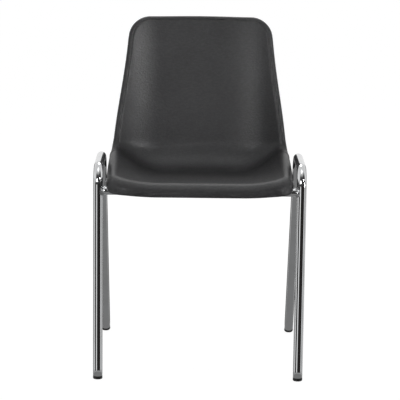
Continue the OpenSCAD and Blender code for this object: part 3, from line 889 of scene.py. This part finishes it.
for finish, nodes in smallPieces.items():
    for node in nodes:
        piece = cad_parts[node]
        piece.data.materials.clear()
        piece.data.materials.append(finishes[finish])
        bevel = piece.modifiers.new("softened_edges", "BEVEL")
        bevel.width, bevel.segments = smallEdges["width"][finish] * mm, smallEdges["segments"]
        bevel.limit_method, bevel.angle_limit = "ANGLE", math.radians(smallEdges["sharperThan"])
print("small pieces dressed")


# studio, in metres and degrees

studio = {
    "floorHalf": 30.0,
    "floorColour": (0.86, 0.86, 0.86),
    "floorWhite": 0.945,             # what the camera sees of the floor, with a little shading on top
    "floorShading": 0.13,
    "worldLevel": 0.46,
    "paper": (0.93, 0.93, 0.94),
    # grey levels that polished metal sees, from straight down (0) to straight up (1)
    "surround": [(0.0, 0.21), (0.22, 0.21), (0.33, 0.85), (0.6, 0.85), (0.8, 0.70)],
    # flags that it sees too, as middle azimuth from the camera's side and half width
    "flags": [(-57, 17), (24, 42), (94, 9), (148, 16), (212, 16), (-107, 9)],
    "flagHeights": [(-0.52, -0.42), (0.06, 0.16)],   # sines of elevation, fading in and fading out
    "flagSoftness": 2.5,
    "flagColour": (0.022, 0.021, 0.020),
    # the dark room behind the camera, in the same way
    "room": (15, 72),
    "roomHeights": [(-0.05, 0.05), (0.70, 0.98)],
    "roomSoftness": 8.0,
    "roomColour": (0.06, 0.06, 0.06),
    "lampCentre": (0, 0.05, 0.5),
    "lampFade": 0.8,                 # power of the fade towards a softbox's edges
    "lamps": [
        # name, azimuth, elevation, distance, width, height, brightness of its middle, angle of the
        # honeycomb grid before it, y and z of the point it is aimed at
        ("right_softbox", 45, 27, 2.4, 0.35, 0.55, 112.0, 24, (0.05, 0.74)),
        ("low_softbox", 66, 2, 2.4, 0.4, 0.7, 15.0, 180, (0.05, 0.5)),
        ("left_softbox", -24, 22, 3.2, 0.8, 1.3, 30.0, 26, (0.05, 0.68)),
        ("overhead_softbox", 0, 76, 1.9, 1.5, 1.4, 3.2, 34, (-0.18, 0.45)),
        ("rear_softbox", 180, 52, 2.4, 1.3, 1.0, 4.0, 180, (0.05, 0.5)),
    ],
}


def addLamp(look, name, azimuth, elevation, distance, width, height, brightness, grid, aimedAt):
    # a softbox that fades towards its edges, and whose grid keeps its light together
    lamp = bpy.data.lights.new(name, "AREA")
    lamp.shape, lamp.size, lamp.size_y = "RECTANGLE", width, height
    lamp.spread = math.radians(grid)
    gathered = 1 - lamp.spread / 2 / math.tan(lamp.spread / 2)
    lamp.energy = brightness * math.pi * width * height * gathered
    f = Finish(lamp)
    across, up, _ = f.parts(f.add("ShaderNodeNewGeometry", out=5))
    fade = (4 * across * (1 - across)) * (4 * up * (1 - up))
    glow = f.add("ShaderNodeEmission", {}, {"Strength": fade ** look["lampFade"]})
    f.add("ShaderNodeOutputLight", {}, {"Surface": glow})
    lampObject = bpy.data.objects.new(name, lamp)
    bpy.context.scene.collection.objects.link(lampObject)
    towards = Vector((sind(azimuth) * cosd(elevation), -cosd(azimuth) * cosd(elevation), sind(elevation)))
    place = Vector(look["lampCentre"]) + distance * towards
    lampObject.location = place
    lampObject.rotation_mode = "QUATERNION"
    lampObject.rotation_quaternion = (Vector((0, *aimedAt)) - place).to_track_quat("-Z", "Y")


def makeWorld(look):
    # plain light for the surfaces, white for the camera, and paper with dark flags for polished metal
    world = bpy.data.worlds.new("studio_world")
    bpy.context.scene.world = world
    f = Finish(world)
    x, y, z = f.parts(f.add("ShaderNodeTexCoord"))
    level = (x * x + y * y) ** 0.5 + 0.0001     # never zero

    def sector(middle, half, soft):
        # 1 inside an azimuth range, with soft ends
        facing = (x * math.sin(math.radians(middle)) - y * math.cos(math.radians(middle))) / level
        return f.range(facing, math.cos(math.radians(half + soft)), math.cos(math.radians(half - soft)))

    def band(heights):
        return f.range(z, *heights[0]) * (1 - f.range(z, *heights[1]))
    flags = [sector(*flag, look["flagSoftness"]) for flag in look["flags"]]
    dark = f.range(band(look["flagHeights"]) * sum(flags[1:], flags[0]), 0.0, 1.0)
    room = band(look["roomHeights"]) * sector(*look["room"], look["roomSoftness"])
    surround = f.add("ShaderNodeValToRGB", {"stops": look["surround"]}, {"Fac": 0.5 + 0.5 * z})
    seen = f.blend(dark, f.blend(room, surround, look["roomColour"]), look["flagColour"])
    paper = (*look["paper"], 1)
    plain = f.add("ShaderNodeBackground", {}, {"Color": paper, "Strength": look["worldLevel"]})
    metal = f.add("ShaderNodeBackground", {}, {"Color": seen, "Strength": 1.0})
    white = f.add("ShaderNodeBackground", {}, {"Color": (1, 1, 1, 1), "Strength": 1.0})
    camera, glossy, through = [f.add("ShaderNodeLightPath", out=i) for i in (0, 3, 6)]
    mixed = f.add("ShaderNodeMixShader", {}, {0: glossy, 1: plain, 2: metal})
    mixed = f.add("ShaderNodeMixShader", {}, {0: camera + through, 1: mixed, 2: white})
    f.add("ShaderNodeOutputWorld", {}, {"Surface": mixed})


def makeFloor(look):
    # white for the camera with a trace of its own shading, so that the chair's shadow stays
    half = look["floorHalf"]
    mesh = bpy.data.meshes.new("floor")
    mesh.from_pydata([(-half, -half, 0), (half, -half, 0), (half, half, 0), (-half, half, 0)], [],
                     [(0, 1, 2, 3)])
    floor = bpy.data.objects.new("floor", mesh)
    bpy.context.scene.collection.objects.link(floor)
    f = newFinish("pale_floor")
    own = f.add("ShaderNodeBsdfDiffuse", {}, {"Color": (*look["floorColour"], 1)})
    shaded = f.add("ShaderNodeBsdfDiffuse", {}, {"Color": (*[look["floorShading"]] * 3, 1)})
    white = f.add("ShaderNodeEmission", {}, {"Color": (1, 1, 1, 1), "Strength": look["floorWhite"]})
    seen = f.add("ShaderNodeAddShader", {}, {0: shaded, 1: white})
    camera = f.add("ShaderNodeLightPath", out=0)
    mixed = f.add("ShaderNodeMixShader", {}, {0: camera, 1: own, 2: seen})
    f.add("ShaderNodeOutputMaterial", {}, {"Surface": mixed})
    mesh.materials.append(f.owner)
    floor.visible_glossy = False


for lamp in studio["lamps"]:
    addLamp(studio, *lamp)
makeWorld(studio)
makeFloor(studio)
print("studio made")


# camera

view = {
    "aside": -23.97, "ahead": 4367.25, "height": 1291.86,   # mm, from the front legs
    "pitch": 11.2228, "roll": 0.6212, "focalPixels": 1947.85, "centrePixel": 189.227,
    "imagePixels": 400, "sensor": 36.0, "clipEnd": 200,
}
camera = bpy.data.cameras.new("camera")
cameraObject = bpy.data.objects.new("camera", camera)
bpy.context.scene.collection.objects.link(cameraObject)
bpy.context.scene.camera = cameraObject
camera.sensor_width = view["sensor"]
camera.lens = view["focalPixels"] / view["imagePixels"] * view["sensor"]
camera.shift_x = (view["imagePixels"] / 2 - view["centrePixel"]) / view["imagePixels"]
camera.clip_end = view["clipEnd"]
cameraObject.location = (view["aside"] * mm, (-view["ahead"] - middleY) * mm, view["height"] * mm)
looking = Matrix.Rotation(math.radians(90 - view["pitch"]), 4, "X")
rolled = Matrix.Rotation(math.radians(view["roll"]), 4, "Z")
cameraObject.rotation_mode = "QUATERNION"
cameraObject.rotation_quaternion = (looking @ rolled).to_quaternion()
bpy.context.scene.view_settings.view_transform = "Standard"
